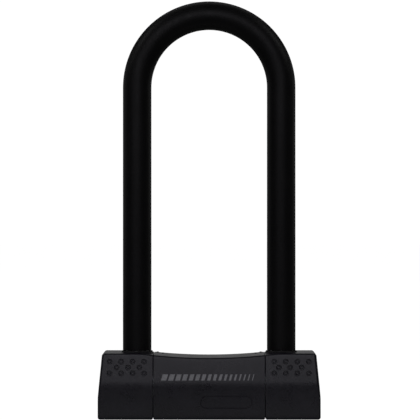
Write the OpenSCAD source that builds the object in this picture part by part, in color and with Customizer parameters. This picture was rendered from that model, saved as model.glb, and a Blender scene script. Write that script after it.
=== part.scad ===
/* [Shackle] */
// Clear width between the two coated legs
clear_w = 85; // [80:1:110]
// Clear height from the dip of the crossbar to the top of the loop
clear_h = 240; // [150:5:300]
// Diameter of the hardened steel bar
bar_d = 18; // [16:0.5:18]
// Thickness of the vinyl coating over the bar
coat_t = 1.5; // [1:0.1:2]
// Gap between the end of the coating and the leg collars
coat_gap = 0.3; // [0.2:0.1:1]

/* [Crossbar] */
// How far the crossbar stands out past each leg axis
overhang = 28; // [26:1:34]
// Sag of the concave top face between the legs
sag = 3.2; // [1:0.1:3.2]
// Wall thickness of the moulded covers
wall = 2.2; // [1.8:0.1:2.2]
// Depth of the ring dimples
dimple_depth = 0.45; // [0.2:0.05:0.8]

/* [Lock] */
// Travel of each bolt
stroke = 4.5; // [3.5:0.1:4.5]
// Turn of the key between open and locked, in degrees
key_turn = 90; // [90:5:110]
// Number of locking discs
discs = 8; // [5:1:8]
// Swing of the keyhole shutter, in degrees
shutter_turn = 65; // [60:1:68]

/* [Hidden] */
$fn = 64;

// Shackle
bar_r = bar_d / 2;
coat_r = bar_r + coat_t;
leg_x = clear_w / 2 + coat_r;
foot_z = 14;
foot_chamfer = 2;
notch_depth = 5.2;
notch_h = 11.2;
flange_top = 49;

// Crossbar outline
body_h = 48;
base_hy = 20.5;
top_hy = 17;
bend_z = 25;
side_z = 15.7;
side_in = 3;
edge_r = 1.8;
body_hx = leg_x + overhang;
seam_x = leg_x - 12.25;
seam_gap = 0.3;
dip_hx = leg_x - 3;
dip_r = (dip_hx * dip_hx + sag * sag) / (2 * sag);
dip_z = body_h - sag;
slope = atan((base_hy - top_hy) / (body_h - bend_z));

// Steel tube and blocks
axis_z = 24;
tube_r = 18;
tube_in = 14;
tube_hx = leg_x + 21.5;
block_r = 13.8;
block_hx = 22;
socket_in = leg_x - 13;
socket_out = leg_x + 15;
fit = 0.05;
pin_r = 2;
pin_z = 20;
pin_len = 34.4;

// Foot socket and collar
bore_r = bar_r + 0.3;
socket_z = foot_z - 1;
neck_r = 10.9;
boss_r = 11.8;
flange_r = 11.5;
seat_z = 48.2;

// Bolts and cam
bolt_r = 5;
bolt_z = 30.4;
bolt_tip = leg_x - bar_r - 0.4;
bolt_end = 2.2;
drive_r = 1.5;
drive_x = 5.6;
cam_z = 22;
cam_t = 3;
cam_r = 12.9;
pocket_r = 13.2;
tail_r = 2.5;
tail_flat = 2;

// Key cylinder
hous_r = 11;
hous_z = 4.3;
hous_top = 21.4;
hous_bore = 8.5;
barrel_r = 8.42;
barrel_in = 7.1;
barrel_z = 5.7;
barrel_floor = 19.8;
barrel_top = 21.3;
disc_r = 7;
disc_t = 1.2;
spacer_t = 0.26;
disc_z = 7.9;
disc_pitch = (barrel_floor - 0.05 - disc_z) / discs;
sidebar_r = 1.1;
sidebar_at = 7.25;
key_r = 4.3;
key_flat = 1;
groove_x = 11.3;

// Keyhole shutter
recess_h = 2.6;
floor_h = 4.1;
pivot_x = 12;
shut_r = 6.2;
hub_r = 3.4;
shut_z = 1;
shut_t = 1.3;

function unit(v) = v / norm(v);

function arc(c, r, a, b, n) = [
    for (i = [0:n]) c + r * [cos(a + (b - a) * i / n), sin(a + (b - a) * i / n)]
];

// Points of a fillet of radius r at corner q between p and s
function fillet(p, q, s, r, n) =
    let (u = unit(p - q), v = unit(s - q))
    let (h = acos(u * v) / 2)
    let (c = q + unit(u + v) * r / sin(h))
    let (m = u * r / tan(h) + q - c, e = v * r / tan(h) + q - c)
    let (a = atan2(m[1], m[0]), b = atan2(e[1], e[0]))
    let (d = b - a, turn = d > 180 ? d - 360 : d < -180 ? d + 360 : d)
    arc(c, r, a, a + turn, n);

// A closed outline with its corners rounded by the radii in r
function rounded(pts, r, n) = [
    for (i = [0:len(pts) - 1])
        let (k = len(pts), p = pts[(i + k - 1) % k], s = pts[(i + 1) % k])
        each fillet(p, pts[i], s, r[i], n)
];

// Pear outline: a small circle at the origin, a large one at distance d
function pear(a, b, d, n) =
    let (t = acos((a - b) / d))
    concat(arc([d, 0], b, -t, t, n), arc([0, 0], a, t, 360 - t, n));

// Half depth of the crossbar at height z, on its sloped part
function face_y(z) = base_hy - (z - bend_z) * tan(slope);

// Radius of the cam slot at turn t
function cam_path(t) = drive_x + stroke * t / key_turn;

// ---------- Outlines ----------

module side_view(inset) {
    hx = body_hx - inset;
    polygon(rounded(
        [[-hx, inset], [hx, inset], [hx, side_z],
         [hx - side_in, body_h - inset],
         [-hx + side_in, body_h - inset], [-hx, side_z]],
        [edge_r, edge_r, 20, 2, 2, 20], 6));
}

module end_view(inset, low) {
    by = base_hy - inset;
    ty = top_hy - inset;
    polygon(rounded(
        [[-by, low], [by, low], [by, bend_z],
         [ty, body_h - inset], [-ty, body_h - inset], [-by, bend_z]],
        [edge_r, edge_r, 40, 1.6, 1.6, 40], 6));
}

module plan_view(inset) {
    hx = body_hx - inset;
    hy = base_hy - inset;
    r = 3;
    polygon(rounded([[-hx, -hy], [hx, -hy], [hx, hy], [-hx, hy]], [r, r, r, r], 6));
}

// Revolved cutter whose rim leaves the dip with rounded long edges
module dip_cutter() {
    rim = [for (a = [0:15:75])
        [dip_r + 1.6 - 1.6 * cos(a), top_hy - 1 + 1.6 * sin(a)]];
    low_rim = [for (i = [len(rim) - 1:-1:0]) [rim[i][0], -rim[i][1]]];
    translate([0, 0, dip_z + dip_r])
        rotate([90, 0, 0])
            rotate([0, 0, -90 - 9])
                rotate_extrude(angle = 18, $fn = 720)
                    polygon(concat(
                        [[dip_r - 12, -24], [dip_r + 1.6, -24]], low_rim, rim,
                        [[dip_r + 1.6, 24], [dip_r - 12, 24]]));
}

// Outer form of the crossbar between x0 and x1
module body_form(x0, x1) {
    difference() {
        intersection() {
            rotate([90, 0, 0])
                linear_extrude(60, center = true)
                    side_view(0);
            translate([x0, 0, 0])
                rotate([90, 0, 90])
                    linear_extrude(x1 - x0)
                        end_view(0, 0);
            linear_extrude(60)
                plan_view(0);
        }
        dip_cutter();
    }
}

// Hollow inside the covers between x0 and x1, above the floor at low
module bay(x0, x1, low) {
    difference() {
        intersection() {
            rotate([90, 0, 0])
                linear_extrude(60, center = true)
                    side_view(wall);
            translate([x0, 0, 0])
                rotate([90, 0, 90])
                    linear_extrude(x1 - x0)
                        end_view(wall, low);
        }
        translate([0, 0, dip_z + dip_r])
            rotate([90, 0, 0])
                cylinder(r = dip_r + wall, h = 60, center = true, $fn = 720);
    }
}

module bar_x(x0, x1, r) {
    translate([x0, 0, axis_z])
        rotate([0, 90, 0])
            cylinder(r = r, h = x1 - x0);
}

module bar_y(x, z, r, h) {
    translate([x, 0, z])
        rotate([90, 0, 0])
            cylinder(r = r, h = h, center = true, $fn = 32);
}

module bar_z(r, z0, z1) {
    translate([0, 0, z0])
        cylinder(r = r, h = z1 - z0);
}

// ---------- Covers ----------

module seam_nick(x) {
    translate([x, 0, 0])
        rotate([0, 45, 0])
            cube([1.5, 60, 1.5], center = true);
}

module ring_dimple(x, z) {
    translate([x, -face_y(z), z])
        rotate([90 - slope, 0, 0])
            translate([0, 0, -dimple_depth])
                difference() {
                    cylinder(r = 1.9, h = 2, $fn = 32);
                    cylinder(r = 0.85, h = 2, $fn = 24);
                }
}

module dimple_rows() {
    for (i = [0:3]) {
        ring_dimple(leg_x - 5.7 + 8.36 * i, 42.1);
        ring_dimple(leg_x - 5.7 + 8.36 * i, 33.7);
    }
    for (i = [0:2])
        ring_dimple(leg_x - 2.4 + 8.3 * i, 37.9);
}

// Snap tongue that reaches under the centre cover and shows in its window
module snap_tongue() {
    x0 = seam_x - 7.75;
    translate([0, 14.5, 0])
        rotate([90, 0, 0])
            linear_extrude(9)
                polygon([[x0 + 0.3, 42.4], [seam_x + 5, 42.4], [seam_x + 5, 45.5],
                         [seam_x + 0.6, 45.2], [seam_x + 0.1, 43.7],
                         [x0 + 2, 43.7], [x0 + 1.8, 45.3], [x0 + 1, 45.3],
                         [x0 + 0.8, 43.7], [x0, 43.4]]);
}

module end_cap() {
    color([0.13, 0.13, 0.14])
        difference() {
            union() {
                difference() {
                    union() {
                        body_form(seam_x + seam_gap / 2, body_hx);
                        translate([leg_x, 0, 0])
                            bar_z(boss_r, 44, seat_z);
                    }
                    difference() {
                        union() {
                            bay(seam_x + 2.6, leg_x + 13.5, wall);
                            bay(leg_x + 15.5, body_hx, wall);
                        }
                        translate([leg_x, 0, 0])
                            bar_z(neck_r + 1.8, 30, 50);
                    }
                    bar_x(seam_x - 1, tube_hx + 0.4, tube_r + 0.2);
                }
                difference() {
                    snap_tongue();
                    bar_x(0, tube_hx, tube_r + 0.2);
                }
            }
            translate([leg_x, 0, 0])
                bar_z(neck_r + 0.1, 20, 60);
            dimple_rows();
            mirror([0, 1, 0])
                dimple_rows();
            seam_nick(seam_x);
        }
}

module left_end_cap() {
    mirror([1, 0, 0])
        end_cap();
}

module right_end_cap() {
    end_cap();
}

// Recess in the base in which the shutter swings
module shutter_recess() {
    translate([pivot_x, 0, -1]) {
        for (a = [180, 180 + shutter_turn])
            rotate([0, 0, a])
                linear_extrude(recess_h + 1)
                    polygon(pear(hub_r + 0.9, shut_r + 0.5, pivot_x, 24));
        rotate([0, 0, 180])
            rotate_extrude(angle = shutter_turn)
                square([pivot_x + shut_r + 0.5, recess_h + 1]);
    }
}

module centre_cover() {
    x1 = seam_x - seam_gap / 2;
    color([0.13, 0.13, 0.14])
        difference() {
            union() {
                body_form(-x1, x1);
                for (s = [-1, 1])
                    translate([s * (seam_x - 2.4), 14.9, 46])
                        cylinder(r1 = 1.6, r2 = 0.9, h = 1.5, $fn = 24);
            }
            bay(-x1 - 1, -24, wall);
            bay(24, x1 + 1, wall);
            bay(-22, 22, floor_h);
            bar_x(-x1 - 1, x1 + 1, tube_r + 0.2);
            for (s = [-1, 1])
                translate([s * (seam_x - 6.35) - 0.7, 5, 40])
                    cube([1.4, 10, 10]);
            shutter_recess();
            bar_z(key_r + 0.9, -1, 10);
            bar_z(hous_r + 0.25, hous_z - 0.1, 10);
            translate([pivot_x, 0, 0])
                bar_z(1.05, 0, floor_h + 1);
            seam_nick(seam_x);
            seam_nick(-seam_x);
            plate_outline();
        }
}

// Sunk outline of a plain blank nameplate on the front face
module plate_outline() {
    translate([12.5, -base_hy, 12.8])
        rotate([90, 0, 0])
            translate([0, 0, -0.3])
                linear_extrude(2)
                    difference() {
                        polygon(rounded([[-19, -4.7], [19, -4.7], [19, 4.7], [-19, 4.7]],
                            [4.6, 4.6, 4.6, 4.6], 8));
                        polygon(rounded([[-18.2, -3.9], [18.2, -3.9], [18.2, 3.9], [-18.2, 3.9]],
                            [3.8, 3.8, 3.8, 3.8], 8));
                    }
}

// ---------- Steel core ----------

module crossbar_tube() {
    color([0.45, 0.46, 0.48])
        difference() {
            bar_x(-tube_hx, tube_hx, tube_r);
            bar_x(-tube_hx - 1, tube_hx + 1, tube_in);
            for (s = [-1, 1]) {
                translate([s * leg_x, 0, 0])
                    bar_z(bore_r, axis_z, 60);
                bar_y(s * (leg_x + 12), pin_z, pin_r + fit, 60);
                bar_y(s * 17.5, pin_z, pin_r + fit, 60);
            }
            bar_z(hous_r + 0.25, 0, axis_z);
            bar_y(groove_x, 14, 1.5 + fit, 60);
        }
}

module socket_block() {
    color([0.55, 0.56, 0.58])
        difference() {
            bar_x(socket_in, socket_out, block_r);
            translate([leg_x, 0, 0])
                bar_z(bore_r, socket_z, 60);
            translate([socket_in - 1, 0, bolt_z - axis_z])
                bar_x(0, leg_x - socket_in, bolt_r + 0.2);
            bar_y(leg_x + 12, pin_z, pin_r + fit, 60);
        }
}

module left_socket_block() {
    mirror([1, 0, 0])
        socket_block();
}

module right_socket_block() {
    socket_block();
}

module centre_block() {
    color([0.62, 0.63, 0.64])
        difference() {
            bar_x(-block_hx, block_hx, block_r);
            bar_z(hous_r + 0.1, 0, cam_z - 0.4);
            bar_z(pocket_r, cam_z - 0.4, cam_z + cam_t + 0.35);
            translate([-pocket_r, 0, cam_z - 0.4])
                cube([2 * pocket_r, 20, cam_t + 0.75]);
            translate([0, 0, bolt_z - axis_z])
                bar_x(-block_hx - 1, block_hx + 1, bolt_r + 0.1);
            translate([-pocket_r, -drive_r - 0.3, cam_z + cam_t])
                cube([2 * pocket_r, 2 * drive_r + 0.6, 3]);
            for (s = [-1, 1])
                bar_y(s * 17.5, pin_z, pin_r + fit, 60);
            bar_y(groove_x, 14, 1.5 + fit, 60);
        }
}

module tube_plug() {
    color([0.45, 0.46, 0.48])
        bar_x(tube_hx - 4.5, tube_hx - 0.2, tube_in - fit);
}

module left_tube_plug() {
    mirror([1, 0, 0])
        tube_plug();
}

module right_tube_plug() {
    tube_plug();
}

module block_pins() {
    color([0.6, 0.61, 0.63])
        for (x = [-leg_x - 12, -17.5, 17.5, leg_x + 12])
            difference() {
                bar_y(x, pin_z, pin_r, pin_len);
                bar_y(x, pin_z, 1, pin_len + 1);
            }
}

module leg_collar() {
    color([0.07, 0.07, 0.07])
        translate([leg_x, 0, 0])
            difference() {
                union() {
                    bar_z(neck_r, 39.5, seat_z);
                    bar_z(flange_r, seat_z, flange_top);
                }
                bar_z(bore_r, 30, 60);
                translate([-leg_x, 0, 0])
                    bar_x(0, tube_hx, tube_r + 0.1);
            }
}

module left_leg_collar() {
    mirror([1, 0, 0])
        leg_collar();
}

module right_leg_collar() {
    leg_collar();
}

// ---------- Key cylinder ----------

module cylinder_housing() {
    color([0.72, 0.6, 0.3])
        difference() {
            bar_z(hous_r, hous_z, hous_top);
            bar_z(hous_bore, 5.6, 30);
            bar_z(9.45, 0, 5.6);
            bar_y(groove_x, 14, 1.6, 60);
            translate([-7.95, 0, 0])
                bar_z(1.35, 7.6, 20.2);
        }
}

module cylinder_pin() {
    color([0.6, 0.61, 0.63])
        bar_y(groove_x, 14, 1.5, 28.8);
}

module anti_drill_plate() {
    color([0.5, 0.51, 0.53])
        difference() {
            bar_z(9.4, 4.35, 5.5);
            bar_z(key_r + 0.9, 0, 10);
        }
}

// Half-moon hole for the key
module key_hole(z0, z1) {
    translate([0, 0, z0])
        linear_extrude(z1 - z0)
            difference() {
                circle(key_r);
                translate([-10, -20 - key_flat])
                    square([20, 20]);
            }
}

module double_d(r, half, z0, z1) {
    translate([0, 0, z0])
        linear_extrude(z1 - z0)
            intersection() {
                circle(r);
                square([4 * r, 2 * half], center = true);
            }
}

module plug_barrel() {
    color([0.75, 0.63, 0.33])
        difference() {
            union() {
                bar_z(barrel_r, barrel_z, barrel_top);
                double_d(tail_r, tail_flat, barrel_top - 0.5, cam_z + cam_t);
            }
            bar_z(barrel_in, 0, barrel_floor);
            translate([-sidebar_r - 0.05, 0, 7.75])
                cube([2 * sidebar_r + 0.1, 12, barrel_floor - 7.75]);
        }
}

module front_disc() {
    color([0.6, 0.61, 0.63])
        difference() {
            bar_z(disc_r, barrel_z + 0.05, disc_z - 0.25);
            key_hole(0, 20);
        }
}

module locking_discs() {
    color([0.78, 0.68, 0.4])
        for (i = [0:discs - 1])
            difference() {
                translate([0, 0, disc_z + i * disc_pitch])
                    bar_z(disc_r, 0, disc_t);
                key_hole(0, 30);
                translate([0, sidebar_at, 0])
                    bar_z(sidebar_r + 0.1, 0, 30);
            }
}

module disc_spacers() {
    color([0.7, 0.7, 0.7])
        for (i = [0:discs - 2])
            difference() {
                translate([0, 0, disc_z + i * disc_pitch + disc_t + 0.01])
                    bar_z(disc_r, 0, min(spacer_t, disc_pitch - disc_t - 0.02));
                bar_z(key_r + 0.7, 0, 30);
                translate([0, sidebar_at, 0])
                    bar_z(sidebar_r + 0.1, 0, 30);
            }
}

module sidebar() {
    color([0.6, 0.61, 0.63])
        translate([0, sidebar_at, 0])
            bar_z(sidebar_r, 7.9, barrel_floor - 0.15);
}

// Spiral slot of half width w that starts in direction a
module cam_slot(a, w) {
    n = 24;
    pts = [for (i = [-1:n + 1])
        let (t = key_turn * i / n) cam_path(t) * [cos(a - t), sin(a - t)]];
    last = len(pts) - 1;
    dirs = [for (i = [0:last]) unit(pts[min(i + 1, last)] - pts[max(i - 1, 0)])];
    sides = [for (d = dirs) atan2(d[1], d[0]) + 90];
    left = [for (i = [1:last - 1]) pts[i] + w * [cos(sides[i]), sin(sides[i])]];
    right = [for (i = [last - 1:-1:1]) pts[i] - w * [cos(sides[i]), sin(sides[i])]];
    polygon(concat(
        left, arc(pts[last], w, sides[last], sides[last] - 180, 12),
        right, arc(pts[0], w, sides[0] + 180, sides[0], 12)));
}

module cam_disc() {
    color([0.58, 0.59, 0.6])
        difference() {
            bar_z(cam_r, cam_z, cam_z + cam_t);
            translate([0, 0, cam_z - 1])
                linear_extrude(cam_t + 2) {
                    cam_slot(0, drive_r + 0.2);
                    cam_slot(180, drive_r + 0.2);
                }
            double_d(tail_r + fit, tail_flat + fit, 0, 40);
        }
}

// ---------- Bolts ----------

module bolt() {
    color([0.55, 0.56, 0.58])
        difference() {
            translate([0, 0, bolt_z - axis_z]) {
                bar_x(bolt_end, bolt_tip - 1, bolt_r);
                translate([bolt_tip - 1, 0, axis_z])
                    rotate([0, 90, 0])
                        cylinder(r1 = bolt_r, r2 = bolt_r - 1, h = 1);
            }
            translate([drive_x, 0, 0])
                bar_z(drive_r + fit, 0, bolt_z + 3);
        }
}

module drive_pin() {
    color([0.6, 0.61, 0.63])
        translate([drive_x, 0, 0])
            bar_z(drive_r, cam_z + 0.3, bolt_z + 2.9);
}

module right_bolt() {
    bolt();
}

module left_bolt() {
    mirror([1, 0, 0])
        bolt();
}

module right_drive_pin() {
    drive_pin();
}

module left_drive_pin() {
    mirror([1, 0, 0])
        drive_pin();
}

// ---------- Shutter ----------

module keyhole_shutter() {
    color([0.3, 0.31, 0.32])
        translate([pivot_x, 0, 0])
            rotate([0, 0, 180])
                difference() {
                    union() {
                        translate([0, 0, shut_z])
                            linear_extrude(shut_t)
                                polygon(pear(hub_r, shut_r, pivot_x, 24));
                        for (i = [-1:1])
                            translate([pivot_x + 2.2 * i, 0, shut_z - 0.25])
                                cube([0.8, 6, 0.6], center = true);
                    }
                    bar_z(1.7, 0, 10);
                }
}

module shutter_screw() {
    color([0.6, 0.61, 0.63])
        translate([pivot_x, 0, 0])
            difference() {
                union() {
                    bar_z(2.8, 0.2, shut_z - 0.15);
                    bar_z(1.6, shut_z - 0.15, recess_h - 0.05);
                    bar_z(1, recess_h - 0.05, floor_h);
                }
                for (a = [0, 90])
                    rotate([0, 0, a])
                        cube([3.2, 0.6, 1], center = true);
            }
}

// ---------- Shackle ----------

module shackle_foot() {
    translate([leg_x, 0, 0])
        difference() {
            union() {
                translate([0, 0, foot_z])
                    cylinder(r1 = bar_r - foot_chamfer, r2 = bar_r, h = foot_chamfer);
                bar_z(bar_r, foot_z + foot_chamfer, arc_z());
            }
            translate([-bar_r - 1, -bar_r - 1, bolt_z - notch_h / 2])
                cube([notch_depth + 1, 2 * bar_r + 2, notch_h]);
        }
}

function arc_z() = dip_z + clear_h - clear_w / 2;

module shackle_bar() {
    color([0.62, 0.63, 0.65])
        union() {
            shackle_foot();
            mirror([1, 0, 0])
                shackle_foot();
            translate([0, 0, arc_z()])
                rotate([90, 0, 0])
                    rotate_extrude(angle = 180, $fn = 128)
                        translate([leg_x, 0])
                            circle(bar_r, $fn = 64);
        }
}

module shackle_sleeve() {
    color([0.05, 0.05, 0.055])
        difference() {
            union() {
                for (s = [-1, 1])
                    translate([s * leg_x, 0, 0])
                        bar_z(coat_r, flange_top + coat_gap, arc_z());
                translate([0, 0, arc_z()])
                    rotate([90, 0, 0])
                        rotate_extrude(angle = 180, $fn = 128)
                            translate([leg_x, 0])
                                circle(coat_r, $fn = 64);
            }
            for (s = [-1, 1])
                translate([s * leg_x, 0, 0])
                    bar_z(bar_r + fit, flange_top - 1, arc_z());
            translate([0, 0, arc_z()])
                rotate([90, 0, 0])
                    rotate_extrude(angle = 180, $fn = 128)
                        translate([leg_x, 0])
                            circle(bar_r + fit, $fn = 64);
        }
}

centre_cover();
left_end_cap();
right_end_cap();
crossbar_tube();
left_socket_block();
right_socket_block();
centre_block();
left_tube_plug();
right_tube_plug();
block_pins();
cylinder_housing();
cylinder_pin();
anti_drill_plate();
left_leg_collar();
right_leg_collar();
shutter_screw();
shackle_bar();
shackle_sleeve();
plug_barrel();
front_disc();
locking_discs();
disc_spacers();
sidebar();
cam_disc();
right_bolt();
right_drive_pin();
left_bolt();
left_drive_pin();
keyhole_shutter();
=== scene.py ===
import math

import bmesh
import bpy
from mathutils import Matrix, Vector


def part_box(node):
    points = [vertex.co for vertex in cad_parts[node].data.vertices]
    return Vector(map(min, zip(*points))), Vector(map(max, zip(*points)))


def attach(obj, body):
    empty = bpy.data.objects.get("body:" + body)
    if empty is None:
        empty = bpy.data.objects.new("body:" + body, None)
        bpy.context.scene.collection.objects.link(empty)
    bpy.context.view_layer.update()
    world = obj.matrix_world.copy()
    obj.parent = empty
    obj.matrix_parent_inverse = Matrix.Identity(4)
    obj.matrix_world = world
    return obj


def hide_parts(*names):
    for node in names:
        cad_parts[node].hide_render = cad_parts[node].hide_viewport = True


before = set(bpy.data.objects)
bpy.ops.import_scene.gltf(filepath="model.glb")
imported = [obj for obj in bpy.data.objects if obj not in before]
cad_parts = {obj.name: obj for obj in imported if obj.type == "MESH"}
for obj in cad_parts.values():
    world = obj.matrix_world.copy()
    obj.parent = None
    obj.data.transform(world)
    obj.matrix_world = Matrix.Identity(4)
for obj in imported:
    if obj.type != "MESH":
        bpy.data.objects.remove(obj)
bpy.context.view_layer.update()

MM = 0.001

# ------------------------------------------------ sizes, in mm, read off the CAD nodes


def mm_box(node):
    lo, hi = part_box(node)
    return lo / MM, hi / MM


COVER_HI = mm_box("centre_cover")[1]
CAP_HI = mm_box("right_end_cap")[1]
SLEEVE_LO, SLEEVE_HI = mm_box("shackle_sleeve")
BAR_LO, BAR_HI = mm_box("shackle_bar")
COLLAR_HI = mm_box("right_leg_collar")[1]
SHUT_LO, SHUT_HI = mm_box("keyhole_shutter")
TUBE_LO, TUBE_HI = mm_box("crossbar_tube")

COAT_R = (SLEEVE_HI.y - SLEEVE_LO.y) / 2
BAR_R = (BAR_HI.y - BAR_LO.y) / 2
LEG_X = SLEEVE_HI.x - COAT_R
ARC_Z = SLEEVE_HI.z - LEG_X - COAT_R
BODY_HX = CAP_HI.x
BASE_HY = CAP_HI.y
BODY_H = 48.0  # height of the crossbar at its ends
SEAT_Z = 48.2  # top of the raised seat round each leg hole
TOP_HY = 17.0  # half depth at the top edge, before it is rounded
BEND_Z = 25.0  # height of the bend in the front and back
SIDE_Z = 15.7  # height of the bend in the ends
SIDE_IN = 3.0  # how far an end leans in by the top
SEAM_IN = COVER_HI.x
SEAM_OUT = LEG_X - 12.1
SEAM_X = LEG_X - 12.25  # middle of the gap between cover and cap
SAG = 3.2  # depth of the dip in the top face
DIP_HX = LEG_X - 3
DIP_R = (DIP_HX**2 + SAG**2) / (2 * SAG)
TUBE_R = (TUBE_HI.z - TUBE_LO.z) / 2
AXIS_Z = (TUBE_HI.z + TUBE_LO.z) / 2
BORE_R = TUBE_R + 0.2  # hole in the covers for the tube
SLOPE = math.atan2(BASE_HY - TOP_HY, BODY_H - BEND_Z)
QUARTER = [math.pi / 2 * k / 4 for k in range(5)]  # angles of a quarter-round edge

# ------------------------------------------------ mesh helpers


def new_object(name, verts, faces):
    """A mesh object from points in mm."""
    mesh = bpy.data.meshes.new(name)
    mesh.from_pydata([Vector(v) * MM for v in verts], [], faces)
    mesh.validate()
    obj = bpy.data.objects.new(name, mesh)
    bpy.context.scene.collection.objects.link(obj)
    bm = bmesh.new()
    bm.from_mesh(mesh)
    bmesh.ops.recalc_face_normals(bm, faces=bm.faces)
    bm.to_mesh(mesh)
    bm.free()
    return obj


def skin(rings):
    """Vertices and quads joining equal closed rings one after another."""
    verts = [p for r in rings for p in r]
    n = len(rings[0])
    faces = []
    for k in range(len(rings) - 1):
        for i in range(n):
            j = (i + 1) % n
            faces.append((k * n + i, k * n + j, (k + 1) * n + j, (k + 1) * n + i))
    return verts, faces


def revolve(name, profile, centre=(0, 0, 0), segments=64, tilt=None):
    """A closed ring solid: profile is a closed list of (radius, height)."""
    rings = []
    for k in range(segments):
        a = 2 * math.pi * k / segments
        rings.append([(r * math.cos(a), r * math.sin(a), z) for r, z in profile])
    n = len(profile)
    verts = [p for r in rings for p in r]
    faces = []
    for k in range(segments):
        for i in range(n):
            j = (i + 1) % n
            k2 = (k + 1) % segments
            faces.append((k * n + i, k * n + j, k2 * n + j, k2 * n + i))
    m = Matrix.Translation(Vector(centre))
    if tilt is not None:
        m = m @ tilt
    return new_object(name, [m @ Vector(v) for v in verts], faces)


def spindle(name, profile, centre=(0, 0, 0), segments=64, tilt=None):
    """A solid of revolution closed at both ends: profile runs from the low end to the high end."""
    n = segments
    verts, faces = [], []
    for r, z in profile:
        for k in range(n):
            a = 2 * math.pi * k / n
            verts.append((r * math.cos(a), r * math.sin(a), z))
    for i in range(len(profile) - 1):
        for k in range(n):
            k2 = (k + 1) % n
            faces.append((i * n + k, i * n + k2, (i + 1) * n + k2, (i + 1) * n + k))
    faces.append(tuple(range(n)))
    faces.append(tuple(range((len(profile) - 1) * n, len(profile) * n)))
    m = Matrix.Translation(Vector(centre))
    if tilt is not None:
        m = m @ tilt
    return new_object(name, [m @ Vector(v) for v in verts], faces)


def prism(name, outline, z0, z1, m=Matrix.Identity(4)):
    """An outline of (x, y) points extruded from z0 to z1."""
    n = len(outline)
    verts = [m @ Vector((x, y, z)) for z in (z0, z1) for x, y in outline]
    faces = [(i, (i + 1) % n, n + (i + 1) % n, n + i) for i in range(n)]
    faces += [tuple(range(n)), tuple(range(n, 2 * n))]
    return new_object(name, verts, faces)


def box_mesh(name, lo, hi, m=Matrix.Identity(4)):
    """A box between two opposite corners, moved by m."""
    outline = [(lo[0], lo[1]), (hi[0], lo[1]), (hi[0], hi[1]), (lo[0], hi[1])]
    return prism(name, outline, lo[2], hi[2], m)


def joined(name, objs):
    """One object holding the meshes of several."""
    bm = bmesh.new()
    for o in objs:
        bm.from_mesh(o.data)
        data = o.data
        bpy.data.objects.remove(o)
        bpy.data.meshes.remove(data)
    mesh = bpy.data.meshes.new(name)
    bm.to_mesh(mesh)
    bm.free()
    obj = bpy.data.objects.new(name, mesh)
    bpy.context.scene.collection.objects.link(obj)
    return obj


def carve(obj, cutters, op="DIFFERENCE"):
    """Applies exact booleans and removes the cutters."""
    for c in cutters:
        mod = obj.modifiers.new("cut", "BOOLEAN")
        mod.operation = op
        mod.solver = "EXACT"
        mod.object = c
    dg = bpy.context.evaluated_depsgraph_get()
    mesh = bpy.data.meshes.new_from_object(obj.evaluated_get(dg))
    obj.modifiers.clear()
    old = obj.data
    obj.data = mesh
    bpy.data.meshes.remove(old)
    for c in cutters:
        data = c.data
        bpy.data.objects.remove(c)
        bpy.data.meshes.remove(data)


def tidy(obj, angle=32.0):
    """Smooth shading with sharp edges by angle, weighted by face area."""
    bm = bmesh.new()
    bm.from_mesh(obj.data)
    bmesh.ops.remove_doubles(bm, verts=bm.verts, dist=2e-7)
    bmesh.ops.dissolve_degenerate(bm, edges=bm.edges, dist=2e-7)
    loose = [v for v in bm.verts if not v.link_faces]
    bmesh.ops.delete(bm, geom=loose, context="VERTS")
    for f in bm.faces:
        f.smooth = True
    limit = math.radians(angle)
    for e in bm.edges:
        e.smooth = len(e.link_faces) == 2 and e.calc_face_angle(0.0) < limit
    bm.to_mesh(obj.data)
    bm.free()
    mod = obj.modifiers.new("normals", "WEIGHTED_NORMAL")
    mod.mode = "FACE_AREA"
    mod.weight = 80
    mod.keep_sharp = True


def arc_points(cx, cy, r, a0, a1, n):
    """Points of an arc about (cx, cy) from angle a0 to a1, both ends included."""
    return [
        (cx + r * math.cos(a0 + (a1 - a0) * i / n), cy + r * math.sin(a0 + (a1 - a0) * i / n))
        for i in range(n + 1)
    ]


def fillet(p, q, s, r, n):
    """Points of an arc of radius r that rounds the corner q between p and s."""
    p, q, s = Vector(p), Vector(q), Vector(s)
    u, v = (p - q).normalized(), (s - q).normalized()
    half = math.acos(max(-1.0, min(1.0, u.dot(v)))) / 2
    c = q + (u + v).normalized() * (r / math.sin(half))
    t = r / math.tan(half)
    m, e = q + u * t - c, q + v * t - c
    a, b = math.atan2(m.y, m.x), math.atan2(e.y, e.x)
    d = b - a
    if d > math.pi:
        d -= 2 * math.pi
    if d < -math.pi:
        d += 2 * math.pi
    return arc_points(c.x, c.y, r, a, a + d, n)


def rounded_rect(hx, hy, r, n, cx=0.0, cy=0.0):
    """Outline of a rectangle of half sizes hx and hy with corners of radius r."""
    pts = []
    for sx, sy, a in ((1, -1, -90), (1, 1, 0), (-1, 1, 90), (-1, -1, 180)):
        a0 = math.radians(a)
        pts += arc_points(cx + sx * (hx - r), cy + sy * (hy - r), r, a0, a0 + math.pi / 2, n)
    return pts


# ------------------------------------------------ the crossbar's outer form

N_Y, N_Z = math.cos(SLOPE), math.sin(SLOPE)
LINE_C = N_Y * BASE_HY + N_Z * BEND_Z
FRONT_ROWS = (5.0, 9.0, 13.4, 14.4, 15.4, 16.4, 17.4, 19.6)


def top_z(x):
    """Height of the crossbar's top face at x."""
    if abs(x) >= DIP_HX:
        return BODY_H
    return BODY_H - SAG + DIP_R - math.sqrt(DIP_R**2 - x * x)


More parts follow.
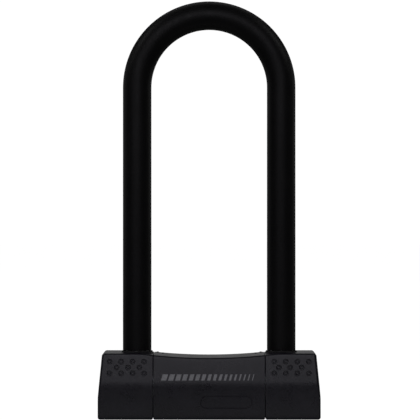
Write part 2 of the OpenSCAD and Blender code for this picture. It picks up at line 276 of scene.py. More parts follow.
def half_outline(zt, inset):
    """Right half of the cross-section, from the bottom centre up to the top centre."""
    z0 = inset
    y1 = BASE_HY - inset
    zt = zt - inset
    bend = (y1, (LINE_C - inset - N_Y * y1) / N_Z)
    top = ((LINE_C - inset - N_Z * zt) / N_Y, zt)
    low = (y1, z0)
    r_low = max(1.15 - inset, 0.05)
    r_bend = 40.0 - inset
    r_top = max(1.7 - inset, 0.05)
    a = fillet((0, z0), low, bend, r_low, 5)
    b = fillet(low, bend, top, r_bend, 8)
    c = fillet(bend, top, (0, zt), r_top, 7)
    pts = [(0.0, z0), (a[0][0] * 0.5, z0)] + a
    lo_z, hi_z = a[-1][1], b[0][1]
    pts += [(y1, min(max(z, lo_z + 0.05), hi_z - 0.05)) for z in FRONT_ROWS]
    pts += b
    for k in (0.25, 0.5, 0.75):
        pts.append((b[-1][0] + (c[0][0] - b[-1][0]) * k, b[-1][1] + (c[0][1] - b[-1][1]) * k))
    pts += c
    pts += [(c[-1][0] * 0.5, zt), (0.0, zt)]
    return pts


FLAT_LOW = 2
FLAT_TOP = 3


def ring(zt, inset, x_of):
    """Whole cross-section as 3-D points; x_of gives x from z."""
    right = half_outline(zt, inset)
    left = [(-y, z) for y, z in reversed(right[1:-1])]
    return [(x_of(z), y, z) for y, z in right + left]


def side_x(z):
    """Outer end of the crossbar at height z: upright below, leaning in above a soft bend."""
    k = SIDE_IN / (BODY_H - SIDE_Z)
    w = 1.9
    if z < SIDE_Z - w:
        return BODY_HX
    if z > SIDE_Z + w:
        return BODY_HX - k * (z - SIDE_Z)
    return BODY_HX - k * (z - SIDE_Z + w) ** 2 / (4 * w)


def end_faces(base, n, flip):
    """Faces that close a ring of n points, as rows between mirrored points."""
    half = n // 2
    right = list(range(half + 1))
    left = [0] + list(range(n - 1, half, -1)) + [half]
    faces = []
    low = [left[i] for i in range(FLAT_LOW, 0, -1)] + [right[i] for i in range(FLAT_LOW + 1)]
    faces.append(tuple(low + [right[FLAT_LOW + 1], left[FLAT_LOW + 1]]))
    last = half - FLAT_TOP + 1
    for i in range(FLAT_LOW + 1, last - 1):
        faces.append((left[i], right[i], right[i + 1], left[i + 1]))
    top = [right[i] for i in range(last, half + 1)]
    top += [left[i] for i in range(half - 1, last - 1, -1)]
    faces.append(tuple([left[last - 1], right[last - 1]] + top))
    return [tuple(base + i for i in (reversed(f) if flip else f)) for f in faces]


def crossbar_part(name, x0, x1, outer_end):
    """A length of the crossbar's solid form: finely rounded at a seam, softly at the outer end."""
    seam_r, end_r = 0.35, 2.0
    rings = []
    for k in range(4, -1, -1):
        t = math.radians(22.5 * k)
        x = x0 + seam_r * (1 - math.sin(t))
        rings.append(ring(top_z(x0), seam_r * (1 - math.cos(t)), lambda z, x=x: x))
    stop = x1 - (end_r if outer_end else seam_r)
    steps = max(2, int((stop - x0 - seam_r) / 1.6))
    for k in range(1, steps):
        x = x0 + seam_r + (stop - x0 - seam_r) * k / steps
        t = max(0.0, (x - (stop - 10)) / 10) if outer_end else 0.0
        rings.append(ring(top_z(x), 0.0, lambda z, x=x, t=t: x + t * (side_x(z) - BODY_HX)))
    for k in range(0, 7 if outer_end else 5):
        t = math.radians(k * (15 if outer_end else 22.5))
        r = end_r if outer_end else seam_r
        inset = r * (1 - math.cos(t))
        back = r * (1 - math.sin(t))
        if outer_end:
            rings.append(ring(top_z(x1), inset, lambda z, b=back: side_x(z) - b))
        else:
            rings.append(ring(top_z(x1), inset, lambda z, b=back: x1 - b))
    verts, faces = skin(rings)
    n = len(rings[0])
    faces += end_faces(0, n, True)
    faces += end_faces((len(rings) - 1) * n, n, False)
    return new_object(name, verts, faces)


def face_y(z):
    """Half depth of the sloped face at height z."""
    return BASE_HY - (z - BEND_Z) * math.tan(SLOPE)


TO_X = Matrix.Rotation(math.pi / 2, 4, "Y")


def rod_x(name, x0, x1, r, segments=96):
    """A rod along x, centred on the axis of the crossbar tube."""
    m = Matrix.Translation(Vector((x0, 0, AXIS_Z))) @ TO_X
    return spindle(name, [(r, 0), (r, x1 - x0)], segments=segments, tilt=m)


# ------------------------------------------------ ring dimples


def dimple_cutters(side):
    """Ring grooves in rows of four, three and four; side is -1 for the front, 1 for the back."""
    ring_r, groove_r, lift, steps = 1.375, 0.66, 0.08, 14
    turns = [2 * math.pi * k / steps for k in range(steps)]
    profile = [(ring_r + groove_r * math.cos(a), lift + groove_r * math.sin(a)) for a in turns]
    spots = [(LEG_X - 5.7 + 8.36 * i, z) for i in range(4) for z in (42.1, 33.7)]
    spots += [(LEG_X - 2.4 + 8.3 * i, 37.9) for i in range(3)]
    made = []
    for x, z in spots:
        tilt = Matrix.Rotation(-side * (math.pi / 2 - SLOPE), 4, "X")
        made.append(revolve("dimple", profile, (x, side * face_y(z), z), 32, tilt))
    return made


# ------------------------------------------------ end caps


def tongue():
    """The snap tongue that reaches under the centre cover and shows in its window."""
    x0 = LEG_X - 20
    under, flat, barb = 42.4, 43.7, 45.3
    outline = [
        (x0 + 0.3, under), (SEAM_X + 5, under), (SEAM_X + 5, 45.5), (SEAM_X + 0.6, 45.2),
        (SEAM_X + 0.1, flat), (x0 + 2, flat), (x0 + 1.8, barb), (x0 + 1, barb),
        (x0 + 0.8, flat), (x0, 43.4),
    ]
    m = Matrix.Rotation(math.pi / 2, 4, "X")
    return prism("tongue", outline, -14.5, -5.5, m)


def boss():
    """Raised seat round the leg hole."""
    r, e = 11.8, 0.35
    profile = [(r, 44.0)]
    profile += [(r - e + e * math.cos(a), SEAT_Z - e + e * math.sin(a)) for a in QUARTER]
    return spindle("boss", profile, (LEG_X, 0, 0), 96)


def leg_hole():
    """Cutter for the hole that a leg passes through, flared at the top."""
    r, e = 11.0, 0.3
    profile = [(r, 24.0), (r, SEAT_Z - e)]
    profile += [(r + e - e * math.cos(a), SEAT_Z - e + e * math.sin(a)) for a in QUARTER[1:]]
    profile += [(r + e, SEAT_Z + 3)]
    return spindle("leg_hole", profile, (LEG_X, 0, 0), 96)


def nick(x):
    """Cutter for a V groove across the underside at a seam."""
    m = Matrix.Translation(Vector((x, 0, 0))) @ Matrix.Rotation(math.pi / 4, 4, "Y")
    return box_mesh("nick", (-0.75, -30, -0.75), (0.75, 30, 0.75), m)


def end_cap(name):
    """The right end cap: seat, bore, leg hole, dimples, seam nick and snap tongue."""
    cap = crossbar_part(name, SEAM_OUT, BODY_HX, True)
    carve(cap, [boss()], "UNION")
    carve(cap, [rod_x("bore", SEAM_OUT - 3, TUBE_HI.x + 0.4, BORE_R)])
    carve(cap, [leg_hole()])
    carve(cap, [joined("rings", dimple_cutters(-1) + dimple_cutters(1))])
    carve(cap, [nick(SEAM_X)])
    t = tongue()
    carve(t, [rod_x("bore", 20, TUBE_HI.x, BORE_R)])
    carve(cap, [t], "UNION")
    return cap


def mirrored(obj, name):
    mesh = obj.data.copy()
    mesh.name = name
    other = bpy.data.objects.new(name, mesh)
    bpy.context.scene.collection.objects.link(other)
    bm = bmesh.new()
    bm.from_mesh(mesh)
    for v in bm.verts:
        v.co.x = -v.co.x
    bmesh.ops.reverse_faces(bm, faces=bm.faces)
    bm.to_mesh(mesh)
    bm.free()
    return other


right_cap = end_cap("cap_right")
left_cap = mirrored(right_cap, "cap_left")

# ------------------------------------------------ centre cover

EYE_R = 3.4  # shutter's radius round its pivot
DISC_R = 6.2  # shutter's radius over the keyhole
PIVOT_X = SHUT_HI.x - EYE_R
KEY_HOLE_R = 5.2
RECESS_R = 6.7
RECESS_Z = 2.6
SWING = math.radians(65)


def pear(a, b, d, n):
    """A small circle at the origin and a large one at distance d, wrapped by one outline."""
    t = math.acos((a - b) / d)
    return arc_points(d, 0, b, -t, t, n) + arc_points(0, 0, a, t, 2 * math.pi - t, n)


def recess_cutters():
    """Cutters for the area of the underside that the shutter sweeps."""
    made = []
    for a in (math.pi, math.pi + SWING):
        m = Matrix.Translation(Vector((PIVOT_X, 0, 0))) @ Matrix.Rotation(a, 4, "Z")
        made.append(prism("recess", pear(4.3, RECESS_R, PIVOT_X, 24), -2, RECESS_Z, m))
    sector = [(0.0, 0.0)] + arc_points(0, 0, PIVOT_X + RECESS_R, math.pi, math.pi + SWING, 24)
    m = Matrix.Translation(Vector((PIVOT_X, 0, 0)))
    made.append(prism("recess", sector, -2.1, RECESS_Z, m))
    return made


def plate_groove():
    """Cutter for a rounded groove along the outline of a blank nameplate."""
    path = rounded_rect(18.6, 4.3, 4.2, 12, 12.5, 12.8)
    n, k = len(path), 10
    r, out_y = 0.42, 0.12
    turns = [2 * math.pi * j / k for j in range(k)]
    rings = []
    for i in range(n):
        p, q = Vector(path[(i - 1) % n]), Vector(path[(i + 1) % n])
        d = (q - p).normalized()
        out = Vector((d.y, -d.x))
        c = Vector(path[i])
        rings.append([
            (
                c.x + out.x * r * math.cos(a),
                -BASE_HY - out_y + r * math.sin(a),
                c.y + out.y * r * math.cos(a),
            )
            for a in turns
        ])
    verts = [p for loop in rings for p in loop]
    faces = []
    for i in range(n):
        i2 = (i + 1) % n
        for j in range(k):
            j2 = (j + 1) % k
            faces.append((i * k + j, i * k + j2, i2 * k + j2, i2 * k + j))
    return new_object("groove", verts, faces)


def centre_cover():
    """The middle cover: pips, bore, top windows, shutter recess, keyhole and nameplate."""
    cover = crossbar_part("cover_centre", -SEAM_IN, SEAM_IN, False)
    pips = []
    pip_r, pip_z, dome_h = 1.35, 46.2, 0.95
    turns = [math.radians(16 * k) for k in range(6)]
    profile = [(pip_r, 45.6)]
    profile += [(pip_r * math.cos(a), pip_z + dome_h * math.sin(a)) for a in turns]
    for s in (-1, 1):
        pips.append(spindle("pip", profile, (s * (LEG_X - 14.65), 14.9, 0), 32))
    carve(cover, [joined("pips", pips)], "UNION")
    carve(cover, [rod_x("bore", -SEAM_IN - 3, SEAM_IN + 3, BORE_R)])
    windows = []  # a slot in the top face and, under it, a channel for a cap's snap tongue
    for s in (-1, 1):
        c = s * (LEG_X - 18.6)
        windows.append(box_mesh("window", (c - 0.7, 5, 42.9), (c + 0.7, 15, 52)))
        lo, hi = sorted((s * (LEG_X - 20.3), s * (SEAM_IN + 2)))
        windows.append(box_mesh("channel", (lo, 5.2, 41.0), (hi, 14.8, 43.9)))
    for w in windows:
        carve(cover, [w])
    for c in recess_cutters():
        carve(cover, [c])
    carve(cover, [spindle("key", [(KEY_HOLE_R, -1), (KEY_HOLE_R, 12)], segments=64)])
    carve(cover, [spindle("well", [(11.25, 4.2), (11.25, 12)], segments=64)])
    carve(cover, [spindle("screw", [(1.05, 0), (1.05, 5)], (PIVOT_X, 0, 0), 24)])
    carve(cover, [plate_groove()])
    carve(cover, [nick(SEAM_X)])
    carve(cover, [nick(-SEAM_X)])
    return cover


cover = centre_cover()

# ------------------------------------------------ printed stripes on the front


def printed_stripes():
    """A row of slanted bars that thins from left to right, printed on the sloped face."""
    z0, z1 = 28.6, 33.0
    lean = 1.3
    sunk, proud = 0.05, 0.03
    verts, faces = [], []
    x = -35.0
    count = 17
    sides = [(k, (k + 1) % 4, 4 + (k + 1) % 4, 4 + k) for k in range(4)]
    sides += [(3, 2, 1, 0), (4, 5, 6, 7)]
    for i in range(count):
        t = i / (count - 1)
        w = 3.2 * (1 - t) ** 1.1 + 0.65
        gap = 1.4 + 0.95 * t
        quad = [(x, z0), (x + w, z0), (x + w + lean, z1), (x + lean, z1)]
        base = len(verts)
        for off in (-sunk, proud):
            for px, pz in quad:
                y = -(face_y(pz) + off * N_Y)
                verts.append((px, y, pz + off * N_Z))
        faces += [tuple(base + k for k in f) for f in sides]
        x += w + gap
    return new_object("printed_stripes", verts, faces)


stripes = printed_stripes()

# ------------------------------------------------ collars, sleeve, bar


def collar(name, s):
    """Rubber ring: a narrow neck in the leg hole and a wider flange over the seat."""
    ri, rn, rf = 9.3, 10.85, 11.45
    z0, zs, z1 = 42.6, 48.25, COLLAR_HI.z
    e = 0.32
    profile = [(ri, z0), (rn, z0), (rn, zs), (rf - 0.1, zs), (rf, zs + 0.12)]
    profile += [(rf - e + e * math.cos(a), z1 - e + e * math.sin(a)) for a in QUARTER]
    profile += [(ri + e - e * math.sin(a), z1 - e + e * math.cos(a)) for a in QUARTER[1:]]
    return revolve(name, profile, (s * LEG_X, 0, 0), 96)


def u_path(z_end, leg_steps, arc_steps):
    """Points and in-plane normals of the U, from the left foot over to the right foot."""
    path = []
    for k in range(leg_steps):
        z = z_end + (ARC_Z - z_end) * k / leg_steps
        path.append(((-LEG_X, z), (-1.0, 0.0)))
    for k in range(arc_steps + 1):
        a = math.pi - math.pi * k / arc_steps
        n = (math.cos(a), math.sin(a))
        path.append(((LEG_X * n[0], ARC_Z + LEG_X * n[1]), n))
    for k in range(leg_steps - 1, -1, -1):
        z = z_end + (ARC_Z - z_end) * k / leg_steps
        path.append(((LEG_X, z), (1.0, 0.0)))
    return path


def tube_ring(spot, n, r, segments):
    """A circle square across the path of the U, about the point spot with normal n."""
    turns = [2 * math.pi * j / segments for j in range(segments)]
    return [
        (spot[0] + n[0] * r * math.cos(a), r * math.sin(a), spot[1] + n[1] * r * math.cos(a))
        for a in turns
    ]


def sleeve():
    """The bent tube with rounded, open ends and a wall all the way."""
    seg = 72
    z_end = SLEEVE_LO.z
    ri = BAR_R + 0.05
    e, inner_e = 0.35, 0.2
    path = u_path(z_end, 12, 72)
    outer = [tube_ring(p, n, COAT_R, seg) for p, n in path]
    inner = [tube_ring(p, n, ri, seg) for p, n in path]

    def lip(sign):
        """Rings of the rounded end on one leg, from the outside in."""
        rings = []
        x = sign * LEG_X
        n = (float(sign), 0.0)
        for a in QUARTER:
            z, r = z_end + e - e * math.sin(a), COAT_R - e + e * math.cos(a)
            rings.append(tube_ring((x, z), n, r, seg))
        for a in QUARTER[1:]:
            z, r = z_end + inner_e - inner_e * math.cos(a), ri + inner_e - inner_e * math.sin(a)
            rings.append(tube_ring((x, z), n, r, seg))
        return rings

    rings = outer[1:-1] + lip(1) + inner[-2:0:-1] + lip(-1)[::-1]
    n = seg
    verts = [p for r in rings for p in r]
    faces = []
    for k in range(len(rings)):
        k2 = (k + 1) % len(rings)
        for i in range(n):
            j = (i + 1) % n
            faces.append((k * n + i, k * n + j, k2 * n + j, k2 * n + i))
    return new_object("sleeve_vinyl", verts, faces)


def steel_bar():
    """The bent bar with rounded feet and a bolt notch on the inner side of each."""
    seg = 64
    z0 = BAR_LO.z
    path = u_path(z0 + 2.4, 14, 72)
    mid = [tube_ring(p, n, BAR_R, seg) for p, n in path]

    def foot(sign):
        n = (float(sign), 0.0)
        chamfer = [(0.15, 2.0), (0.45, 1.6), (1.7, 0.35), (2.1, 0.08), (2.5, 0.0)]
        return [tube_ring((sign * LEG_X, z0 + z), n, BAR_R - c, seg) for c, z in chamfer]

    rings = list(reversed(foot(-1))) + mid + foot(1)
    verts, faces = skin(rings)
    faces.append(tuple(range(seg)))
    faces.append(tuple(range((len(rings) - 1) * seg, len(rings) * seg)))
    bar = new_object("bar_steel", verts, faces)
    cuts = []
    for s in (-1, 1):
        lo, hi = sorted((s * (LEG_X - BAR_R - 3), s * (LEG_X - BAR_R + 5.2)))
        m = Matrix.Rotation(math.pi / 2, 4, "X")
        outline = rounded_rect((hi - lo) / 2, 5.6, 1.1, 5, (lo + hi) / 2, 30.4)
        cuts.append(prism("notch", outline, -12, 12, m))
    carve(bar, [joined("notches", cuts)])
    return bar


collar_r = collar("collar_right", 1)
collar_l = collar("collar_left", -1)
sleeve_obj = sleeve()
bar_obj = steel_bar()

# ------------------------------------------------ keyhole shutter


def shutter():
    """Pear-shaped plate with three finger ribs and a pivot eye."""
    z1 = SHUT_HI.z
    z0 = z1 - 1.3
    e, step = 0.25, 0.08
    levels = [(z0, e), (z0 + step, 0.1), (z0 + e, 0), (z1 - e, 0), (z1 - step, 0.1), (z1, e)]
    m = Matrix.Translation(Vector((PIVOT_X, 0, 0))) @ Matrix.Rotation(math.pi, 4, "Z")
    rings = []
    for z, inset in levels:
        outline = pear(EYE_R - inset, DISC_R - inset, PIVOT_X, 28)
        rings.append([m @ Vector((x, y, z)) for x, y in outline])
    verts, faces = skin(rings)
    n = len(rings[0])
    faces.append(tuple(range(n)))
    faces.append(tuple(range((len(rings) - 1) * n, len(rings) * n)))
    plate = new_object("shutter_plate", verts, faces)
    ribs, pitch = [], 2.2
    for i in (1, 0, -1):
        outline = rounded_rect(0.4, 3.0, 0.38, 5, i * pitch, 0)
        ribs.append(prism("rib", outline, SHUT_LO.z, z0 + 0.3))
    for r in ribs:
        carve(plate, [r], "UNION")
    carve(plate, [spindle("eye", [(1.7, -2), (1.7, 6)], (PIVOT_X, 0, 0), 40)])
    return plate


shutter_obj = shutter()

for o in (right_cap, left_cap, cover, collar_r, collar_l, sleeve_obj, bar_obj, shutter_obj):
    tidy(o)

# ------------------------------------------------ materials


class Nodes:
    """Small helper round one material's node tree."""

    def __init__(self, name):
        self.mat = bpy.data.materials.new(name)
        self.mat.use_nodes = True
        self.tree = self.mat.node_tree
        self.bsdf = self.tree.nodes["Principled BSDF"]
        self.coord = self.tree.nodes.new("ShaderNodeTexCoord")

    def link(self, a, b):
        self.tree.links.new(a, b)

    def mapping(self, scale=(1, 1, 1), rot=(0, 0, 0)):
        node = self.tree.nodes.new("ShaderNodeMapping")
        node.inputs["Scale"].default_value = scale
        node.inputs["Rotation"].default_value = rot
        self.link(self.coord.outputs["Object"], node.inputs["Vector"])
        return node.outputs["Vector"]

    def noise(self, scale, detail=2.0, rough=0.5, vector=None, distortion=0.0):
        node = self.tree.nodes.new("ShaderNodeTexNoise")
        node.inputs["Scale"].default_value = scale
        node.inputs["Detail"].default_value = detail
        node.inputs["Roughness"].default_value = rough
        node.inputs["Distortion"].default_value = distortion
        self.link(vector or self.coord.outputs["Object"], node.inputs["Vector"])
        return node.outputs["Fac"]

    def ramp(self, fac, stops):
        node = self.tree.nodes.new("ShaderNodeValToRGB")
        els = node.color_ramp.elements
        while len(els) < len(stops):
            els.new(0.5)
        for el, (pos, col) in zip(els, stops):
            el.position = pos
            el.color = (*col, 1) if len(col) == 3 else col
        self.link(fac, node.inputs["Fac"])
        return node.outputs["Color"]

    def span(self, fac, lo, hi, from_lo=0.0, from_hi=1.0):
        node = self.tree.nodes.new("ShaderNodeMapRange")
        node.inputs["From Min"].default_value = from_lo
        node.inputs["From Max"].default_value = from_hi
        node.inputs["To Min"].default_value = lo
        node.inputs["To Max"].default_value = hi
        self.link(fac, node.inputs["Value"])
        return node.outputs["Result"]

    def sum(self, a, b):
        node = self.tree.nodes.new("ShaderNodeMath")
        node.operation = "ADD"
        self.link(a, node.inputs[0])
        self.link(b, node.inputs[1])
        return node.outputs["Value"]

    def product(self, a, b):
        node = self.tree.nodes.new("ShaderNodeMath")
        node.operation = "MULTIPLY"
        self.link(a, node.inputs[0])
        self.link(b, node.inputs[1])
        return node.outputs["Value"]

    def blend(self, fac, colour, target):
        node = self.tree.nodes.new("ShaderNodeMix")
        node.data_type = "RGBA"
        self.link(fac, node.inputs[0])
        self.link(colour, node.inputs[6])
        node.inputs[7].default_value = (*target, 1)
        return node.outputs[2]

    def edge_wear(self, lo, hi, scale):
        """A broken mask on outer edges."""
        geo = self.tree.nodes.new("ShaderNodeNewGeometry")
        edges = self.span(geo.outputs["Pointiness"], 0.0, 1.0, lo, hi)
        return self.product(edges, self.span(self.noise(scale, 4.0, 0.65), 0.0, 1.0, 0.42, 0.62))

    def bump(self, height, strength, distance, before=None):
        node = self.tree.nodes.new("ShaderNodeBump")
        node.inputs["Strength"].default_value = strength
        node.inputs["Distance"].default_value = distance
        self.link(height, node.inputs["Height"])
        if before is not None:
            self.link(before, node.inputs["Normal"])
        return node.outputs["Normal"]


def moulded_plastic(name, dark, light, rough_lo, rough_hi, grain=0.00005):
    """Spark-textured plastic: mottled grain, flow clouds, dulled patches and rubbed edges."""
    m = Nodes(name)
    clouds = m.noise(38.0, 4.0, 0.55)
    mottle = m.noise(1150.0, 3.0, 0.6)
    tone = m.sum(m.span(clouds, 0.0, 0.5, 0.3, 0.7), m.span(mottle, 0.0, 0.5, 0.35, 0.65))
    worn = m.edge_wear(0.53, 0.62, 240.0)
    lighter = tuple(1.7 * c + 0.004 for c in light)
    colour = m.ramp(tone, [(0.15, dark), (0.85, light)])
    m.link(m.blend(worn, colour, lighter), m.bsdf.inputs["Base Color"])
    patches = m.noise(95.0, 3.0, 0.6)
    dulled = m.span(patches, rough_lo, rough_hi, 0.3, 0.7)
    rough = m.sum(dulled, m.span(mottle, -0.05, 0.05, 0.35, 0.65))
    m.link(m.sum(rough, m.span(worn, 0.0, -0.08)), m.bsdf.inputs["Roughness"])
    fine = m.noise(5200.0, 2.0, 0.5)
    coarse = m.noise(1500.0, 3.0, 0.55)
    n1 = m.bump(coarse, 0.5, grain)
    m.link(m.bump(fine, 0.35, grain * 0.5, n1), m.bsdf.inputs["Normal"])
    m.bsdf.inputs["IOR"].default_value = 1.48
    return m.mat


def vinyl(name):
    """Satin dip-coated vinyl: near black, slight orange peel, faint streaks along the length."""
    m = Nodes(name)
    soft = m.noise(60.0, 3.0, 0.5)
    stops = [(0.3, (0.0016, 0.0015, 0.0017)), (0.75, (0.0032, 0.003, 0.0034))]
    m.link(m.ramp(soft, stops), m.bsdf.inputs["Base Color"])
    streaks = m.noise(420.0, 3.0, 0.6, m.mapping((1.0, 1.0, 0.06)))
    m.link(m.span(streaks, 0.42, 0.52, 0.3, 0.7), m.bsdf.inputs["Roughness"])
    peel = m.noise(900.0, 2.0, 0.5)
    grain = m.noise(4200.0, 2.0, 0.5)
    n1 = m.bump(peel, 0.25, 0.00005)
    m.link(m.bump(grain, 0.15, 0.00002, n1), m.bsdf.inputs["Normal"])
    m.bsdf.inputs["IOR"].default_value = 1.47
    m.bsdf.inputs["Specular IOR Level"].default_value = 0.2
    return m.mat


def rubber(name):
    """Matt rubber with soft mottling and a fine grain."""
    m = Nodes(name)
    soft = m.noise(300.0, 3.0, 0.5)
    stops = [(0.3, (0.004, 0.004, 0.004)), (0.7, (0.008, 0.008, 0.008))]
    m.link(m.ramp(soft, stops), m.bsdf.inputs["Base Color"])
    m.link(m.span(soft, 0.6, 0.75, 0.3, 0.7), m.bsdf.inputs["Roughness"])
    m.link(m.bump(m.noise(3500.0, 2.0, 0.5), 0.25, 0.00003), m.bsdf.inputs["Normal"])
    return m.mat


def print_ink(name):
    """Light grey pad print, slightly uneven and semi-matt."""
    m = Nodes(name)
    wear = m.noise(900.0, 4.0, 0.65)
    stops = [(0.3, (0.17, 0.17, 0.18)), (0.6, (0.27, 0.27, 0.285))]
    m.link(m.ramp(wear, stops), m.bsdf.inputs["Base Color"])
    m.link(m.span(wear, 0.45, 0.6, 0.3, 0.7), m.bsdf.inputs["Roughness"])
    m.link(m.bump(m.noise(3200.0, 2.0, 0.5), 0.2, 0.00003), m.bsdf.inputs["Normal"])
    return m.mat


def metal(name, dark, light, rough_lo, rough_hi, stretch=(1, 1, 1), scale=500.0, bump=0.3):
    """Machined metal: fine lines drawn out along one direction, with soft staining."""
    m = Nodes(name)
    stain = m.noise(70.0, 4.0, 0.6)
    m.link(m.ramp(stain, [(0.3, dark), (0.7, light)]), m.bsdf.inputs["Base Color"])
    lines = m.noise(scale, 4.0, 0.65, m.mapping(stretch))
    m.link(m.span(lines, rough_lo, rough_hi, 0.3, 0.7), m.bsdf.inputs["Roughness"])
    m.link(m.bump(lines, bump, 0.00004), m.bsdf.inputs["Normal"])
    m.bsdf.inputs["Metallic"].default_value = 1.0
    return m.mat


PLASTIC = moulded_plastic(
    "moulded_black", (0.0042, 0.0038, 0.0072), (0.0096, 0.0086, 0.0150), 0.29, 0.37, 0.00006
)
SHUTTER = moulded_plastic("moulded_grey", (0.02, 0.02, 0.022), (0.03, 0.03, 0.032), 0.4, 0.5)
VINYL = vinyl("satin_vinyl")
RUBBER = rubber("matt_rubber")
INK = print_ink("pad_print")
HARD = metal(
    "hardened_steel", (0.42, 0.43, 0.45), (0.56, 0.57, 0.58), 0.24, 0.38, (1, 1, 0.05), 700.0
)
TUBE = metal(
    "drawn_steel", (0.26, 0.27, 0.28), (0.38, 0.39, 0.4), 0.34, 0.5, (0.05, 1, 1), 600.0
)
ZINC = metal(
    "plated_steel", (0.55, 0.56, 0.58), (0.68, 0.69, 0.7), 0.22, 0.34, (1, 0.08, 1), 900.0, 0.2
)
BRASS = metal(
    "turned_brass", (0.6, 0.44, 0.19), (0.76, 0.6, 0.3), 0.2, 0.34, (1, 1, 8.0), 300.0, 0.2
)


def dress(obj, material):
    """Gives an object one material in place of any it had."""
    obj.data.materials.clear()
    obj.data.materials.append(material)


for o, mat, slot in (
    (right_cap, PLASTIC, "cover_plastic"),
    (left_cap, PLASTIC, "cover_plastic"),
    (cover, PLASTIC, "cover_plastic"),
    (stripes, INK, "cover_plastic"),
    (collar_r, RUBBER, "collar_rubber"),
    (collar_l, RUBBER, "collar_rubber"),
    (sleeve_obj, VINYL, "sleeve_vinyl"),
    (bar_obj, HARD, "hard_steel"),
    (shutter_obj, SHUTTER, "shutter_plastic"),
):
    dress(o, mat)

for obj, node, body in (
    (right_cap, "right_end_cap", "lock_body"),
    (left_cap, "left_end_cap", "lock_body"),
    (cover, "centre_cover", "lock_body"),
    (collar_r, "right_leg_collar", "lock_body"),
    (collar_l, "left_leg_collar", "lock_body"),
    (sleeve_obj, "shackle_sleeve", "shackle"),
    (bar_obj, "shackle_bar", "shackle"),
    (shutter_obj, "keyhole_shutter", "shutter"),
):
    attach(obj, body)
    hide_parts(node)
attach(stripes, "lock_body")

CAD_METALS = {
    "crossbar_tube": TUBE, "left_tube_plug": TUBE, "right_tube_plug": TUBE, "centre_block": TUBE,
    "left_socket_block": HARD, "right_socket_block": HARD, "block_pins": ZINC, "cylinder_pin": ZINC,
    "cylinder_housing": BRASS, "plug_barrel": BRASS, "locking_discs": BRASS, "disc_spacers": ZINC,
    "anti_drill_plate": HARD, "front_disc": HARD, "sidebar": ZINC, "cam_disc": HARD,
    "right_bolt": HARD, "left_bolt": HARD, "right_drive_pin": ZINC, "left_drive_pin": ZINC,
    "shutter_screw": ZINC,
}
for node, mat in CAD_METALS.items():
    dress(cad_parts[node], mat)

# ------------------------------------------------ stage, light and camera


def plain(name, colour, strength=0.0):
    """A matt material of one colour, with a white glow of the given strength."""
    mat = bpy.data.materials.new(name)
    mat.use_nodes = True
    b = mat.node_tree.nodes["Principled BSDF"]
    b.inputs["Base Color"].default_value = (*colour, 1)
    b.inputs["Roughness"].default_value = 0.9
    b.inputs["Specular IOR Level"].default_value = 0.0
    b.inputs["Emission Color"].default_value = (1, 1, 1, 1)
    b.inputs["Emission Strength"].default_value = strength
    return mat


def flat_sheet(name, corners, mat):
    """A stage sheet from four corners in metres."""
    o = new_object(name, [Vector(c) / MM for c in corners], [(0, 1, 2, 3)])
    dress(o, mat)


FLOOR_HALF = 7
FLOOR_Z = -0.0002
DOME_R = 8000

# The floor is white to the camera and dim to everything it lights.
floor_mat = plain("floor_pale", (0.14, 0.14, 0.14))
floor_nodes, floor_links = floor_mat.node_tree.nodes, floor_mat.node_tree.links
path = floor_nodes.new("ShaderNodeLightPath")
glow = floor_nodes.new("ShaderNodeMapRange")
glow.inputs["To Min"].default_value = 0.05
glow.inputs["To Max"].default_value = 1.0
floor_links.new(path.outputs["Is Camera Ray"], glow.inputs["Value"])
floor_shader = floor_nodes["Principled BSDF"]
floor_links.new(glow.outputs["Result"], floor_shader.inputs["Emission Strength"])
square = ((-1, -1), (1, -1), (1, 1), (-1, 1))
floor_corners = [(x * FLOOR_HALF, y * FLOOR_HALF, FLOOR_Z) for x, y in square]
flat_sheet("floor", floor_corners, floor_mat)

dome_turns = [math.radians(d) for d in (-1, 20, 45, 70, 89)]
dome_profile = [(DOME_R * math.cos(a), DOME_R * math.sin(a)) for a in dome_turns]
dome = spindle("dome", dome_profile, segments=48)
dress(dome, plain("dome_white", (1, 1, 1), 1.0))
dome.visible_glossy = False
dome.visible_diffuse = False
dome.visible_shadow = False

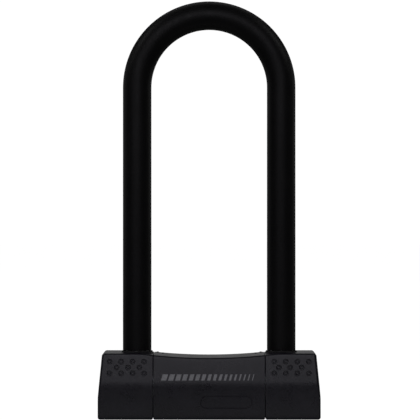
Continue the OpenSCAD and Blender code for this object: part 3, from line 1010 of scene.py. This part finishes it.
world = bpy.data.worlds.new("studio")
bpy.context.scene.world = world
world.use_nodes = True
background = world.node_tree.nodes["Background"]
background.inputs["Color"].default_value = (1, 1, 1, 1)
background.inputs["Strength"].default_value = 0.018


def area_light(name, at, to, size_x, size_y, power, colour=(1, 1, 1)):
    """A rectangular light at one point, aimed at another and hidden from the camera."""
    data = bpy.data.lights.new(name, "AREA")
    data.color = colour
    data.shape = "RECTANGLE"
    data.size, data.size_y, data.energy = size_x, size_y, power
    o = bpy.data.objects.new(name, data)
    bpy.context.scene.collection.objects.link(o)
    o.location = at
    o.rotation_mode = "QUATERNION"
    o.rotation_quaternion = (Vector(to) - Vector(at)).to_track_quat("-Z", "Y")
    o.visible_camera = False


# name, place, target, width, height, watts and, where it is not white, colour
LIGHTS = (
    ("front_box", (-0.15, -1.25, 0.65), (0, 0, 0.1), 1.4, 0.64, 4.0, (0.99, 0.97, 1.05)),
    ("top_box", (-0.1, -0.95, 1.3), (0, 0, 0.12), 1.3, 0.9, 0.3),
    ("back_card", (0.0, 2.6, 0.62), (0, 0, 0.25), 3.0, 1.15, 3.0),
    ("left_card", (-2.2, 1.4, 0.5), (0, 0, 0.15), 2.2, 1.0, 2.0),
    ("right_card", (2.2, 1.4, 0.5), (0, 0, 0.15), 2.2, 1.0, 2.0),
    ("left_box", (-1.4, -0.2, 1.35), (0, 0, 0.12), 0.8, 0.8, 3.0),
    ("right_box", (1.4, -0.2, 1.35), (0, 0, 0.12), 0.8, 0.8, 3.0),
    ("high_card", (0.0, 1.3, 2.0), (0, 0, 0.2), 2.0, 1.4, 3.4),
    ("near_bounce", (0, -0.07, 0.0006), (0, -0.07, 1), 0.4, 0.085, 0.025),
)
for row in LIGHTS:
    area_light(*row)

camera_data = bpy.data.cameras.new("camera")
camera = bpy.data.objects.new("camera", camera_data)
bpy.context.scene.collection.objects.link(camera)
camera_data.sensor_width = 36.0
camera_data.lens = 163.05
camera_data.clip_start, camera_data.clip_end = 0.05, 60.0
camera.location = (0.0006, -1.4, 0.1523)
camera.rotation_euler = (math.pi / 2, 0, 0)
bpy.context.scene.camera = camera
bpy.context.scene.view_settings.view_transform = "Standard"
